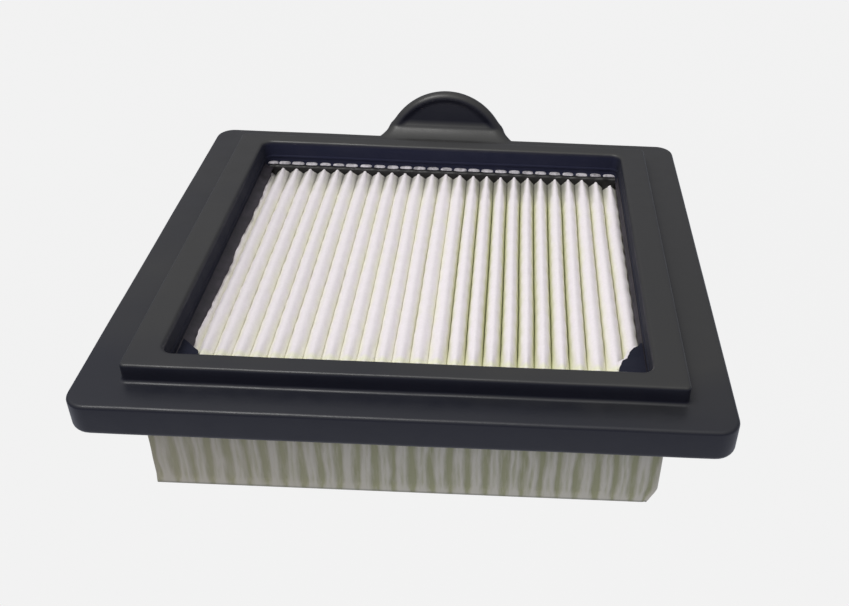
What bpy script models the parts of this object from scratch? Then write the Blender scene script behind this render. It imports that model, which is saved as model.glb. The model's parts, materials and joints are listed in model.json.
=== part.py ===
"""Panel air filter element: a moulded frame with a pull tab around a pack of pleated paper.

The origin is at the bottom centre of the whole element. +Z points out of the opening and +Y towards the tab.
"""

from math import asin, cos, pi, radians, sin, sqrt, tan

import bmesh
import bpy
from mathutils import Matrix, Vector

MM = 0.001

# Flange and raised step. The centre of the flange is the reference for every Y value in this block.
FLANGE_SIZE = (138.0 * MM, 128.0 * MM)
FLANGE_THICKNESS = 7.9 * MM
FLANGE_CORNER = 4.8 * MM
STEP_WIDTH = 118.0 * MM
STEP_FRONT = -55.7 * MM
STEP_REAR = 52.6 * MM
STEP_HEIGHT = 4.4 * MM
STEP_CORNER = 1.2 * MM
FLANGE_ROUND = 1.1 * MM
STEP_ROUND = 0.6 * MM
ROUND_STEPS = 3

# Opening through the frame, and the ledge at the foot of its wall.
OPENING_WIDTH = 103.4 * MM
OPENING_FRONT = -50.9 * MM
OPENING_REAR = 48.0 * MM
OPENING_CORNER = 2.6 * MM
OPENING_CHAMFER = 0.7 * MM
LEDGE_DROP = 3.1 * MM
LEDGE_THICKNESS = 1.1 * MM
LEDGE_WIDTH = 2.2 * MM

# Paper pack.
PACK_SIZE = (109.2 * MM, 115.6 * MM)
PACK_DROP = 25.8 * MM
PLEATS = 28
PAPER = 0.5 * MM
FOLD_FLAT = 0.9 * MM
PLEAT_SEAL = 1.7 * MM
EDGE_SEAL = (2.0 * MM, 0.8 * MM)
CLEARANCE = 0.3 * MM

# Pull tab: a leaning lug with a round top, on a shelf behind the flange.
TAB_RADIUS = 19.0 * MM
TAB_RISE = 12.8 * MM
TAB_THICKNESS = 4.4 * MM
TAB_BEND = 3.0 * MM
TAB_LEAN = radians(15.0)
TAB_FOOT_FILLET = 9.0 * MM
TAB_ROOT = 2.5 * MM
TAB_EDGE_ROUND = 1.7 * MM

# Places that follow from the sizes above.
FLANGE_TOP = PACK_DROP
STEP_TOP = FLANGE_TOP + STEP_HEIGHT
FLANGE_BOTTOM = FLANGE_TOP - FLANGE_THICKNESS
LEDGE_TOP = FLANGE_TOP - LEDGE_DROP
LEDGE_BOTTOM = LEDGE_TOP - LEDGE_THICKNESS
PACK_TOP = LEDGE_BOTTOM - CLEARANCE
TAB_BEND_START = FLANGE_SIZE[1] / 2 - FLANGE_ROUND
TAB_SLOPE = pi / 2 - TAB_LEAN
TAB_BEND_END = TAB_BEND_START + TAB_BEND * sin(TAB_SLOPE)
TAB_STRAIGHT_RISE = TAB_RISE - TAB_BEND * (1 - cos(TAB_SLOPE))
TAB_REACH = TAB_BEND_END + (TAB_STRAIGHT_RISE / tan(TAB_SLOPE)) + TAB_THICKNESS / sin(TAB_SLOPE)
FRAME_Y = (FLANGE_SIZE[1] / 2 - TAB_REACH) / 2
OPENING_Y = (OPENING_FRONT + OPENING_REAR) / 2

COLOURS = {
    "moulded_rubber": ((0.028, 0.028, 0.034), 0.42),
    "filter_paper": ((0.80, 0.79, 0.74), 0.90),
    "pleat_end_paper": ((0.55, 0.54, 0.47), 0.85),
    "edge_sealant": ((0.16, 0.15, 0.19), 0.55),
}


def clear_scene():
    """Remove whatever the scene holds."""
    for obj in list(bpy.data.objects):
        bpy.data.objects.remove(obj, do_unlink=True)


def new_collection(name):
    """Add an empty collection to the scene."""
    collection = bpy.data.collections.new(name)
    bpy.context.scene.collection.children.link(collection)
    return collection


def make_material(slot):
    """A Principled material with the slot's colour and roughness."""
    colour, roughness = COLOURS[slot]
    material = bpy.data.materials.new(slot)
    material.use_nodes = True
    shader = material.node_tree.nodes["Principled BSDF"]
    shader.inputs["Base Color"].default_value = (*colour, 1.0)
    shader.inputs["Roughness"].default_value = roughness
    shader.inputs["Metallic"].default_value = 0.0
    material.diffuse_color = (*colour, 1.0)
    return material


def add_object(name, mesh, collection):
    """Put a mesh in the scene under a name."""
    obj = bpy.data.objects.new(name, mesh)
    collection.objects.link(obj)
    return obj


def arc_points(centre, radius, start, end, steps):
    """Points on an arc about a centre, from one angle to another, both ends included."""
    angles = [start + (end - start) * step / steps for step in range(steps + 1)]
    return [(centre[0] + radius * cos(a), centre[1] + radius * sin(a)) for a in angles]


def round_edges(bm, edges, width, segments):
    """Round some edges of a bmesh."""
    bmesh.ops.bevel(bm, geom=edges, offset=width, segments=segments, profile=0.5, affect="EDGES",
                    clamp_overlap=True)


def level_edges(bm, z):
    """The edges that lie at one height."""
    return [e for e in bm.edges if all(abs(v.co.z - z) < 0.01 * MM for v in e.verts)]


def rounded_block(name, low, high, corner, collection, corner_steps=5, top_round=0.0, bottom_round=0.0):
    """A box between two corners, with rounded upright edges and, where wanted, a rounded top and bottom."""
    size = [high[i] - low[i] for i in range(3)]
    centre = [(high[i] + low[i]) / 2 for i in range(3)]
    bm = bmesh.new()
    place = Matrix.Translation(centre) @ Matrix.Diagonal((*size, 1.0))
    bmesh.ops.create_cube(bm, size=1.0, matrix=place)
    upright = [e for e in bm.edges if abs(e.verts[0].co.z - e.verts[1].co.z) > size[2] / 2]
    if corner > 0:
        round_edges(bm, upright, corner, corner_steps)
    for z, width in ((high[2], top_round), (low[2], bottom_round)):
        if width > 0:
            round_edges(bm, level_edges(bm, z), width, ROUND_STEPS)
    mesh = bpy.data.meshes.new(name)
    bm.to_mesh(mesh)
    bm.free()
    return add_object(name, mesh, collection)


def widen_top(obj, amount):
    """Move the top of a block outwards on every side, which turns it into a funnel."""
    top = max(vertex.co.z for vertex in obj.data.vertices)
    middle = sum((vertex.co for vertex in obj.data.vertices), Vector()) / len(obj.data.vertices)
    for vertex in obj.data.vertices:
        if vertex.co.z > top - 0.01 * MM:
            vertex.co.x += amount if vertex.co.x > middle.x else -amount
            vertex.co.y += amount if vertex.co.y > middle.y else -amount


def extruded_outline(name, outline, length, collection):
    """A flat 2D outline given thickness along its own Z, as a mesh object."""
    curve = bpy.data.curves.new(name, "CURVE")
    curve.dimensions = "2D"
    curve.fill_mode = "BOTH"
    curve.extrude = length / 2
    spline = curve.splines.new("POLY")
    spline.points.add(len(outline) - 1)
    for point, (x, y) in zip(spline.points, outline):
        point.co = (x, y, 0.0, 1.0)
    spline.use_cyclic_u = True
    curve_object = add_object(name + "_curve", curve, collection)
    graph = bpy.context.evaluated_depsgraph_get()
    mesh = bpy.data.meshes.new_from_object(curve_object.evaluated_get(graph))
    bpy.data.objects.remove(curve_object, do_unlink=True)
    weld_mesh(mesh)
    mesh.name = name
    return add_object(name, mesh, collection)


def weld_mesh(mesh):
    """Join the loose caps to the sides and turn every face outwards."""
    bm = bmesh.new()
    bm.from_mesh(mesh)
    bmesh.ops.remove_doubles(bm, verts=bm.verts, dist=0.00001)
    bmesh.ops.recalc_face_normals(bm, faces=bm.faces)
    bm.to_mesh(mesh)
    bm.free()


def sheet_object(name, path, direction, length, collection):
    """An open sheet: a path in space swept along a straight direction, centred on the path."""
    bm = bmesh.new()
    start = [bm.verts.new(Vector(point) - Vector(direction) * length / 2) for point in path]
    edges = [bm.edges.new(pair) for pair in zip(start, start[1:])]
    swept = bmesh.ops.extrude_edge_only(bm, edges=edges)["geom"]
    moved = [item for item in swept if isinstance(item, bmesh.types.BMVert)]
    bmesh.ops.translate(bm, verts=moved, vec=Vector(direction) * length)
    bmesh.ops.recalc_face_normals(bm, faces=bm.faces)
    mesh = bpy.data.meshes.new(name)
    bm.to_mesh(mesh)
    bm.free()
    return add_object(name, mesh, collection)


def add_solidify(obj, thickness, offset):
    """Give a sheet an even thickness."""
    modifier = obj.modifiers.new("thickness", "SOLIDIFY")
    modifier.thickness = thickness
    modifier.offset = offset
    modifier.use_even_offset = True
    return modifier


def add_boolean(obj, other, operation):
    """Cut, join or trim an object with another one, which becomes a hidden guide."""
    modifier = obj.modifiers.new(operation.lower() + "_" + other.name, "BOOLEAN")
    modifier.operation = operation
    modifier.solver = "EXACT"
    modifier.object = other
    other.hide_render = True
    other.display_type = "WIRE"
    return modifier


def add_edge_round(obj, width, segments, angle=radians(50.0)):
    """Round the edges that turn by more than an angle."""
    modifier = obj.modifiers.new("edge_round", "BEVEL")
    modifier.width = width
    modifier.segments = segments
    modifier.limit_method = "ANGLE"
    modifier.angle_limit = angle
    modifier.use_clamp_overlap = True
    modifier.harden_normals = False
    return modifier


def smooth(obj):
    """Shade the gentle turns smooth and keep the sharp ones."""
    obj.data.shade_smooth()
    obj.data.set_sharp_from_angle(angle=radians(40.0))


def tab_side_path():
    """The tab's front face seen from the side: along the flange, round the bend and up the lug."""
    bend_centre = (TAB_BEND_START, FLANGE_TOP + TAB_BEND)
    root = (TAB_BEND_START - TAB_ROOT, FLANGE_TOP)
    bend = arc_points(bend_centre, TAB_BEND, -pi / 2, -pi / 2 + TAB_SLOPE, 5)
    beyond = TAB_RISE + TAB_THICKNESS
    tip = (bend[-1][0] + beyond * cos(TAB_SLOPE), bend[-1][1] + beyond * sin(TAB_SLOPE))
    return [root, *bend, tip]


def tab_outline():
    """The tab seen from the front: a round top that runs into the shelf through two fillets."""
    centre_z = FLANGE_TOP + TAB_RISE - TAB_RADIUS
    fillet_z = FLANGE_TOP - CLEARANCE + TAB_FOOT_FILLET
    fillet_x = sqrt((TAB_RADIUS + TAB_FOOT_FILLET) ** 2 - (fillet_z - centre_z) ** 2)
    lean = asin((fillet_z - centre_z) / (TAB_RADIUS + TAB_FOOT_FILLET))
    top = arc_points((0.0, centre_z), TAB_RADIUS, lean, pi - lean, 20)
    right = arc_points((fillet_x, fillet_z), TAB_FOOT_FILLET, -pi / 2, lean - pi, 6)[:-1]
    left = [(-x, z) for x, z in reversed(right)]
    floor = FLANGE_TOP - 2 * TAB_THICKNESS
    return [(fillet_x, floor), *right, *top, *left, (-fillet_x, floor)]


def build_tab(cutters):
    """The pull tab: a bent plate trimmed to a round-topped outline."""
    path = [(0.0, y, z) for y, z in tab_side_path()]
    tab = sheet_object("tab_plate", path, (1.0, 0.0, 0.0), 60 * MM, cutters)
    add_solidify(tab, TAB_THICKNESS, 1.0)
    outline = extruded_outline("tab_outline", tab_outline(), 60 * MM, cutters)
    outline.rotation_euler = (pi / 2, 0.0, 0.0)
    outline.location = (0.0, FLANGE_SIZE[1] / 2, 0.0)
    add_boolean(tab, outline, "INTERSECT")
    add_edge_round(tab, TAB_EDGE_ROUND, ROUND_STEPS)
    tab.hide_render = True
    tab.display_type = "WIRE"
    return tab


def build_frame(parts, cutters):
    """The moulded frame: flange, raised step and tab, with the opening and the pack's pocket cut out."""
    half = (FLANGE_SIZE[0] / 2, FLANGE_SIZE[1] / 2)
    frame = rounded_block("moulded_frame", (-half[0], -half[1], FLANGE_BOTTOM),
                          (half[0], half[1], FLANGE_TOP), FLANGE_CORNER, parts,
                          top_round=FLANGE_ROUND, bottom_round=FLANGE_ROUND)
    step = rounded_block("raised_step", (-STEP_WIDTH / 2, STEP_FRONT, FLANGE_TOP - 2 * MM),
                         (STEP_WIDTH / 2, STEP_REAR, STEP_TOP), STEP_CORNER, cutters, 3,
                         top_round=STEP_ROUND)
    opening = rounded_block("opening", (-OPENING_WIDTH / 2, OPENING_FRONT, LEDGE_TOP),
                            (OPENING_WIDTH / 2, OPENING_REAR, STEP_TOP + 5 * MM), OPENING_CORNER, cutters, 4)
    funnel = rounded_block("opening_funnel",
                           (-OPENING_WIDTH / 2, OPENING_FRONT, STEP_TOP - OPENING_CHAMFER),
                           (OPENING_WIDTH / 2, OPENING_REAR, STEP_TOP + OPENING_CHAMFER),
                           OPENING_CORNER, cutters, 4)
    widen_top(funnel, 2 * OPENING_CHAMFER)
    throat_half = OPENING_WIDTH / 2 - LEDGE_WIDTH
    throat = rounded_block("throat", (-throat_half, OPENING_FRONT + LEDGE_WIDTH, FLANGE_BOTTOM),
                           (throat_half, OPENING_REAR - LEDGE_WIDTH, STEP_TOP), 0.0, cutters)
    pocket_half = [PACK_SIZE[i] / 2 + CLEARANCE for i in range(2)]
    pocket = rounded_block("pack_pocket",
                           (-pocket_half[0], OPENING_Y - pocket_half[1], FLANGE_BOTTOM - 5 * MM),
                           (pocket_half[0], OPENING_Y + pocket_half[1], LEDGE_BOTTOM), 0.0, cutters)
    add_boolean(frame, step, "UNION")
    add_boolean(frame, build_tab(cutters), "UNION")
    for cutter in (opening, funnel, throat, pocket):
        add_boolean(frame, cutter, "DIFFERENCE")
    return frame


def pleat_path():
    """The folded sheet seen from the front, as the middle of its thickness."""
    pitch = PACK_SIZE[0] / PLEATS
    low = PAPER / 2
    high = PACK_TOP - PAPER / 2
    points = []
    for pleat in range(PLEATS):
        crest = -PACK_SIZE[0] / 2 + (pleat + 0.5) * pitch
        for x, z in ((crest - FOLD_FLAT / 2, high), (crest + FOLD_FLAT / 2, high),
                     (crest + pitch / 2 - FOLD_FLAT / 2, low), (crest + pitch / 2 + FOLD_FLAT / 2, low)):
            points.append((x, OPENING_Y, z))
    first = (-PACK_SIZE[0] / 2 + PAPER / 2, OPENING_Y, low)
    last = (PACK_SIZE[0] / 2 - PAPER / 2, OPENING_Y, low)
    return [first, *points[:-2], last]


def build_media(parts):
    """One sheet of paper folded into pleats that run from front to rear."""
    length = PACK_SIZE[1] - 2 * (PLEAT_SEAL + CLEARANCE)
    media = sheet_object("pleated_media", pleat_path(), (0.0, 1.0, 0.0), length, parts)
    add_solidify(media, PAPER, 0.0)
    return media


def build_pleat_seal(name, side, parts):
    """The crimped edge that closes the pleats' ends: a plate with one rib for each pleat."""
    pitch = PACK_SIZE[0] / PLEATS
    outer = PACK_SIZE[1] / 2
    inner = outer - PLEAT_SEAL
    groove = PLEAT_SEAL * 0.4
    outline = [(-PACK_SIZE[0] / 2, inner)]
    for pleat in range(PLEATS):
        left = -PACK_SIZE[0] / 2 + pleat * pitch
        outline += [(left, outer - groove), (left + 0.25 * pitch, outer), (left + 0.75 * pitch, outer)]
    outline += [(PACK_SIZE[0] / 2, outer - groove), (PACK_SIZE[0] / 2, inner)]
    placed = [(x, OPENING_Y + side * y) for x, y in outline]
    seal = extruded_outline(name, placed, PACK_TOP, parts)
    seal.location.z = PACK_TOP / 2
    return seal


def build_edge_seal(name, side, parts):
    """The strip along one inner wall that bonds the sheet's first leaf to the frame."""
    wall = OPENING_WIDTH / 2 - CLEARANCE
    xs = sorted((side * wall, side * (wall - EDGE_SEAL[0])))
    inset = OPENING_CORNER + CLEARANCE
    low = (xs[0], OPENING_FRONT + inset, LEDGE_TOP + CLEARANCE)
    high = (xs[1], OPENING_REAR - inset, LEDGE_TOP + CLEARANCE + EDGE_SEAL[1])
    seal = rounded_block(name, low, high, 0.0, parts)
    add_edge_round(seal, 0.25 * MM, 2)
    return seal


def main():
    """Build the element and stand it on its origin."""
    clear_scene()
    parts = new_collection("panel_air_filter_element")
    cutters = new_collection("cutters")
    placed = {
        build_frame(parts, cutters): "moulded_rubber",
        build_media(parts): "filter_paper",
        build_pleat_seal("front_pleat_seal", -1, parts): "pleat_end_paper",
        build_pleat_seal("rear_pleat_seal", 1, parts): "pleat_end_paper",
        build_edge_seal("left_edge_seal", -1, parts): "edge_sealant",
        build_edge_seal("right_edge_seal", 1, parts): "edge_sealant",
    }
    materials = {slot: make_material(slot) for slot in COLOURS}
    centre = bpy.data.objects.new("element", None)
    parts.objects.link(centre)
    centre.location = (0.0, FRAME_Y, 0.0)
    for obj, slot in placed.items():
        obj.data.materials.append(materials[slot])
        smooth(obj)
    for obj in [*placed, *cutters.objects]:
        obj.parent = centre


main()
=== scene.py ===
"""Panel air filter element for a small engine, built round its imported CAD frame.

The file is laid out as a Blender add-on and run as a script. Each operator makes one piece of the
element, or the stage, from the sizes and colours in the property groups. Lengths are in metres, +Z is
up and the pull tab is at +Y.
"""

import json
from math import asin, cos, hypot, pi, radians, sin, sqrt, tan

import bmesh
import bpy
import numpy as np
from bpy.props import FloatProperty, FloatVectorProperty, IntProperty, PointerProperty
from mathutils import Matrix, Vector, noise

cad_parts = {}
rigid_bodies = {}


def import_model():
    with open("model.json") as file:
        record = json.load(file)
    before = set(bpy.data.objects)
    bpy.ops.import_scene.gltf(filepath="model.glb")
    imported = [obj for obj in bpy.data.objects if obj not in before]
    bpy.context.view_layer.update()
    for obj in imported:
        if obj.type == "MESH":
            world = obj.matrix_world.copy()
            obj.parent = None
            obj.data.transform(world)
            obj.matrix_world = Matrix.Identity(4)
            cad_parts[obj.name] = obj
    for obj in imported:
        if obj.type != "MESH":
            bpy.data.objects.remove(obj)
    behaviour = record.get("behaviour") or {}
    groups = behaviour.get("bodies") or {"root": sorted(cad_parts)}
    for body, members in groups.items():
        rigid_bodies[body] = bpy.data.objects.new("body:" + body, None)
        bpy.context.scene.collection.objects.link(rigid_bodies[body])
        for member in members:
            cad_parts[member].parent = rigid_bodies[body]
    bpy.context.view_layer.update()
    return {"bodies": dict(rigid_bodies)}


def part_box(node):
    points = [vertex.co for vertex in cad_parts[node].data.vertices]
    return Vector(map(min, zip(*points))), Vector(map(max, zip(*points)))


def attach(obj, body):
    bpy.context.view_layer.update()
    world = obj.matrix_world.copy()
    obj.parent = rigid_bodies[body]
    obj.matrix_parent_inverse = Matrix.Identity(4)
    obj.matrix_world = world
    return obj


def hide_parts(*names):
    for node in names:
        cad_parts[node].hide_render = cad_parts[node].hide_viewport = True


bl_info = {
    "name": "Panel air filter element",
    "version": (1, 0, 0),
    "blender": (4, 5, 0),
    "location": "View3D > Sidebar > Filter element",
    "description": "Builds a moulded panel air filter element with its pleated paper and stage",
    "category": "Object",
}

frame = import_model()
BODY = list(frame["bodies"])[0]
MM = 0.001

FRAME_LOW, FRAME_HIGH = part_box("moulded_frame")
MEDIA_LOW, MEDIA_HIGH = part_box("pleated_media")
FRONT_SEAL_LOW, FRONT_SEAL_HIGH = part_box("front_pleat_seal")
REAR_SEAL_LOW, REAR_SEAL_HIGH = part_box("rear_pleat_seal")
FRONT = FRAME_LOW.y


def length(name, description, default, **more):
    """A length property in metres."""
    return FloatProperty(name=name, description=description, default=default, unit="LENGTH",
                         precision=5, **more)


def colour(name, description, default):
    """A linear colour property."""
    return FloatVectorProperty(name=name, description=description, default=default, subtype="COLOR",
                               size=3, min=0.0, max=1.0)


class MouldingSizes(bpy.types.PropertyGroup):
    """Sizes of the moulded frame and its pull tab."""

    flange_depth: length("Flange depth", "Front edge of the flange to its rear edge", 128.0 * MM)
    flange_top: length("Flange top", "Height of the flange's upper face", 25.8 * MM)
    flange_bottom: length("Flange underside", "Height of the flange's lower face", 17.9 * MM)
    flange_corner: length("Flange corner", "Radius of the flange's corners in plan", 4.8 * MM)
    flange_round: length("Flange edge", "Radius along the flange's upper edge", 0.85 * MM)
    skirt_round: length("Skirt edge", "Radius along the skirt's lower edge", 1.5 * MM)
    step_half: length("Step half width", "Middle of the element to the step's side", 59.0 * MM)
    step_front: length("Step front", "Flange's front edge to the step", 8.3 * MM)
    step_rear: length("Step rear", "Flange's rear edge to the step", 11.4 * MM)
    step_height: length("Step height", "Rise of the sealing step above the flange", 4.4 * MM)
    step_round: length("Step edge", "Radius along the step's outer edge", 0.65 * MM)
    riser_fillet: length("Riser fillet", "Radius where the step meets the flange", 0.8 * MM)
    opening_half: length("Opening half width", "Middle of the element to the opening's side", 51.7 * MM)
    opening_front: length("Opening front", "Flange's front edge to the opening", 13.45 * MM)
    opening_rear: length("Opening rear", "Flange's rear edge to the opening", 16.0 * MM)
    rim_round: length("Opening edge", "Radius along the opening's rim", 0.9 * MM)
    ledge_drop: length("Ledge drop", "Depth of the inner ledge below the flange's upper face", 3.1 * MM)
    ledge_thickness: length("Ledge thickness", "Thickness of the inner ledge", 1.1 * MM)
    rear_lift: length("Rear ledge lift", "How much higher the ledge lies along the rear", 0.65 * MM)
    bead: length("Bead", "How far the mould line on the inner wall stands out", 0.22 * MM)
    unevenness: length("Unevenness", "Slow rise and fall of the moulded faces", 0.07 * MM)
    tab_radius: length("Tab radius", "Radius of the pull tab's outline", 19.0 * MM)
    tab_rise: length("Tab rise", "Height of the tab above the flange", 12.8 * MM)
    tab_thickness: length("Tab thickness", "Thickness of the pull tab", 4.4 * MM)
    tab_lean: FloatProperty(name="Tab lean", description="How far the tab leans back from upright",
                            default=radians(15.0), subtype="ANGLE")
    tab_flare: length("Tab flare", "Radius where the tab's outline runs into the flange", 12.0 * MM)
    tab_dish: length("Tab dish", "Depth of the shallow dish in the tab's front face", 0.5 * MM)


class PaperSizes(bpy.types.PropertyGroup):
    """Sizes of the pleated paper."""

    pitch: length("Pleat spacing", "Distance from one crest to the next", 3.97 * MM)
    first_crest: length("First crest", "Place of the first full pleat from the middle", -46.2 * MM)
    full_pleats: IntProperty(name="Full pleats", description="Pleats that show at full height",
                             default=25, min=1)
    stray: length("Stray", "How far a crest lies off its even place", 0.26 * MM)
    crest_height: length("Crest height", "Height of the pleats' crests", 23.15 * MM)
    slit: length("Slit", "Space left between two pleats where their sides meet", 0.05 * MM)
    shoulder_drop: length("Shoulder drop", "Fall of the paper from a crest to its shoulder", 1.05 * MM)
    slot_drop: length("Slot drop", "Depth at which two pleats meet where they lie close", 1.35 * MM)
    open_slot_drop: length("Open slot drop", "Depth at which two pleats meet where they stand apart",
                           3.9 * MM)
    open_slot_half: length("Open slot half width", "Half the space between pleats that stand apart",
                           0.52 * MM)
    end_drop: length("End drop", "Depth at which two pleats meet at their ends", 1.5 * MM)
    valley_half: length("Valley half width", "Half the width of a lower fold", 1.0 * MM)
    paper: length("Paper", "Thickness of the sheet", 0.36 * MM)
    emboss: length("Embossing", "How far the embossed bumps push a pleat's sides out", 0.09 * MM)
    emboss_spacing: length("Embossing spacing", "Distance between embossed bumps along a pleat", 6.0 * MM)
    tip: length("Tip", "Length over which a crest narrows to its end", 15.0 * MM)
    wander: length("Wander", "How far a pleat strays from a straight line", 0.22 * MM)


class PleatEndSizes(bpy.types.PropertyGroup):
    """Sizes of the crimped pleat ends at the front and rear of the pack."""

    column_half: length("Fold half width", "Half the width of a pinched fold", 1.12 * MM)
    recess: length("Recess", "Depth of the hollow between two folds", 0.70 * MM)
    groove: length("Groove", "Depth of the groove down the middle of a fold", 0.22 * MM)


class FinishColours(bpy.types.PropertyGroup):
    """Colours of the finishes."""

    # The skin's warm and cool tones, which also serve as its painted light and painted shade.
    rubber_warm_lit: colour("Rubber, warm", "Moulded skin at its warmest", (0.0265, 0.0265, 0.0260))
    rubber_cool_shaded: colour("Rubber, cool", "Moulded skin at its coolest", (0.0085, 0.0095, 0.0165))
    # Painted shade on upright faces.
    rubber_upright_shade: colour("Rubber, upright", "Moulded skin on upright faces", (0.0085, 0.0090, 0.0180))
    # Painted shade down inside the opening, and on its rear wall.
    rubber_inside_shade: colour("Rubber, inside", "Moulded skin down inside the opening",
                          (0.0035, 0.0050, 0.0180))
    rubber_rear_wall_shade: colour("Rubber, rear wall", "Moulded skin of the opening's rear wall",
                        (0.0080, 0.0100, 0.0340))
    dust: colour("Dust", "Specks of paper dust on the skin", (0.42, 0.42, 0.44))
    crest: colour("Paper crest", "Paper along the crests", (0.88, 0.83, 0.86))
    # flank, side and valley are painted shade of the paper at growing depth in the folds.
    flank: colour("Paper flank", "Paper a little below the crests", (0.87, 0.85, 0.74))
    side: colour("Paper side", "Paper part of the way down the folds", (0.80, 0.81, 0.58))
    valley: colour("Paper valley", "Paper deep in the folds", (0.64, 0.67, 0.42))
    # Grey rubber film in the folds' ends together with painted shade.
    end_film_and_shade: colour("Paper stain", "Grey rubber film in the folds' ends", (0.150, 0.145, 0.140))
    # A painted yellowish highlight on the paper near the front rim.
    rim_highlight: colour("Paper glue", "Yellowed paper close to the front rim", (0.88, 0.90, 0.58))
    # Painted shade that greys the paper towards the left.
    left_shade: colour("Paper grime", "Greyer paper towards the left", (0.38, 0.35, 0.36))
    end_ridge: colour("Fold ridge", "Ridges of the pinched folds", (0.67, 0.64, 0.55))
    # Painted shade in the hollows between the pinched folds.
    end_recess_shade: colour("Fold recess", "Hollows between the pinched folds", (0.42, 0.42, 0.27))
    end_beige: colour("Fold beige", "Warmer paper towards the left", (0.50, 0.44, 0.34))
    # A paler yellow-green band along the top of the folds' ends, just under the flange.
    end_rim: colour("Fold rim", "Yellowed paper under the flange", (0.80, 0.84, 0.55))
    # Darkens the folds' ends along their lower edge.
    end_hem: colour("Fold hem", "Dirt along the folds' lower edge", (0.20, 0.20, 0.17))
    # The adhesive skin's colour together with painted shade of the first pleat's flap.
    sealant_and_shade: colour("Sealant", "Adhesive skin beside the first pleat", (0.050, 0.043, 0.054))
    potting: colour("Potting", "Rubber that fills the pleats' ends", (0.020, 0.019, 0.020))
    smear: colour("Smeared paper", "Crest ends that show through the rubber", (0.66, 0.63, 0.67))


class StageSizes(bpy.types.PropertyGroup):
    """The stage, its light and the camera."""

    floor_colour: colour("Floor", "Pale floor", (0.890, 0.890, 0.890))
    floor_glow: FloatProperty(name="Floor glow", description="Light that the floor gives by itself",
                              default=1.0, min=0.0)
    ambient: FloatProperty(name="Ambient", description="Strength of the even light all round",
                           default=0.85, min=0.0)
    overhead: FloatProperty(name="Overhead", description="Power of the overhead panel", default=3.2,
                            min=0.0, unit="POWER")
    overhead_place: FloatVectorProperty(name="Overhead place", description="Middle of the overhead panel",
                                        default=(-0.25, -0.21, 0.80), subtype="TRANSLATION",
                                        unit="LENGTH")
    overhead_side: length("Overhead side", "Side of the square overhead panel", 0.30)
    aim: FloatVectorProperty(name="Aim", description="Point that the camera looks at",
                             default=(18.44 * MM, FRONT + 44.23 * MM, 24.11 * MM),
                             subtype="TRANSLATION", unit="LENGTH")
    distance: length("Distance", "Camera to the point it looks at", 233.6 * MM)
    azimuth: FloatProperty(name="Azimuth", description="Turn of the camera about the element",
                           default=radians(0.276), subtype="ANGLE")
    elevation: FloatProperty(name="Elevation", description="Rise of the camera above the floor",
                             default=radians(35.53), subtype="ANGLE")
    roll: FloatProperty(name="Roll", description="Tilt of the camera about its own axis",
                        default=radians(2.182), subtype="ANGLE")
    lens: FloatProperty(name="Lens", description="Focal length", default=41.64, min=1.0, unit="CAMERA")
    shift: FloatProperty(name="Shift", description="Sideways shift of the view", default=-0.087)


# Mesh making.


def grid_quads(rows, columns, first=0, turned=False):
    """Faces of a grid whose vertices are numbered row by row."""
    quads = []
    for row in range(rows - 1):
        for column in range(columns - 1):
            a = first + row * columns + column
            quad = (a, a + 1, a + columns + 1, a + columns)
            quads.append(quad[::-1] if turned else quad)
    return quads


def ring_quads(rows, count, closed=False):
    """Faces of a tube whose rings of points are numbered ring by ring; closed joins its two ends."""
    quads = []
    for row in range(rows if closed else rows - 1):
        below = (row + 1) % rows
        for index in range(count):
            after = (index + 1) % count
            quads.append((row * count + index, row * count + after, below * count + after,
                          below * count + index))
    return quads


def thick_grid(upper, lower):
    """Vertices and faces of a closed body between two grids of points that match one to one."""
    rows, columns = upper.shape[:2]
    count = rows * columns
    vertices = np.concatenate([upper.reshape(-1, 3), lower.reshape(-1, 3)])
    faces = grid_quads(rows, columns) + grid_quads(rows, columns, count, turned=True)
    rim = list(range(columns))
    rim += [row * columns + columns - 1 for row in range(1, rows)]
    rim += [(rows - 1) * columns + column for column in range(columns - 2, -1, -1)]
    rim += [row * columns for row in range(rows - 2, 0, -1)]
    for a, b in zip(rim, rim[1:] + rim[:1]):
        faces.append((b, a, a + count, b + count))
    return vertices, faces


def join_parts(parts):
    """One list of vertices and faces from several."""
    vertices, faces, first = [], [], 0
    for part_vertices, part_faces in parts:
        vertices.extend(part_vertices)
        faces.extend(tuple(first + index for index in face) for face in part_faces)
        first += len(part_vertices)
    return np.array(vertices), faces


def make_object(name, vertices, faces, sharp=40.0, weld=0.0):
    """A mesh object with outward faces, shaded smooth up to an angle."""
    mesh = bpy.data.meshes.new(name)
    mesh.from_pydata([tuple(map(float, v)) for v in vertices], [], faces)
    bm = bmesh.new()
    bm.from_mesh(mesh)
    if weld > 0:
        bmesh.ops.remove_doubles(bm, verts=bm.verts, dist=weld)
    bmesh.ops.recalc_face_normals(bm, faces=bm.faces)
    bm.to_mesh(mesh)
    bm.free()
    mesh.shade_smooth()
    mesh.set_sharp_from_angle(angle=radians(sharp))
    obj = bpy.data.objects.new(name, mesh)
    bpy.context.scene.collection.objects.link(obj)
    return obj


def add_point_values(obj, name, values):
    """One number for each of a mesh's points, for its finish to read."""
    obj.data.attributes.new(name, "FLOAT", "POINT").data.foreach_set("value", values)


def place_piece(obj, material, replaced=()):
    """Give a piece its finish, and let it ride on the element's body."""
    obj.data.materials.clear()
    obj.data.materials.append(material)
    if replaced:
        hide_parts(*replaced)
    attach(obj, BODY)


def slow_noise(x, y, z, scale):
    """Smooth noise from -1 to 1, with a wavelength near the scale."""
    return noise.noise(Vector((x / scale, y / scale, z / scale)))


def smooth_step(value, low, high):
    """0 below low, 1 above high and smooth in between, for numbers and arrays."""
    share = np.clip((value - low) / (high - low), 0.0, 1.0)
    return share * share * (3 - 2 * share)


# Finishes.


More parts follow.
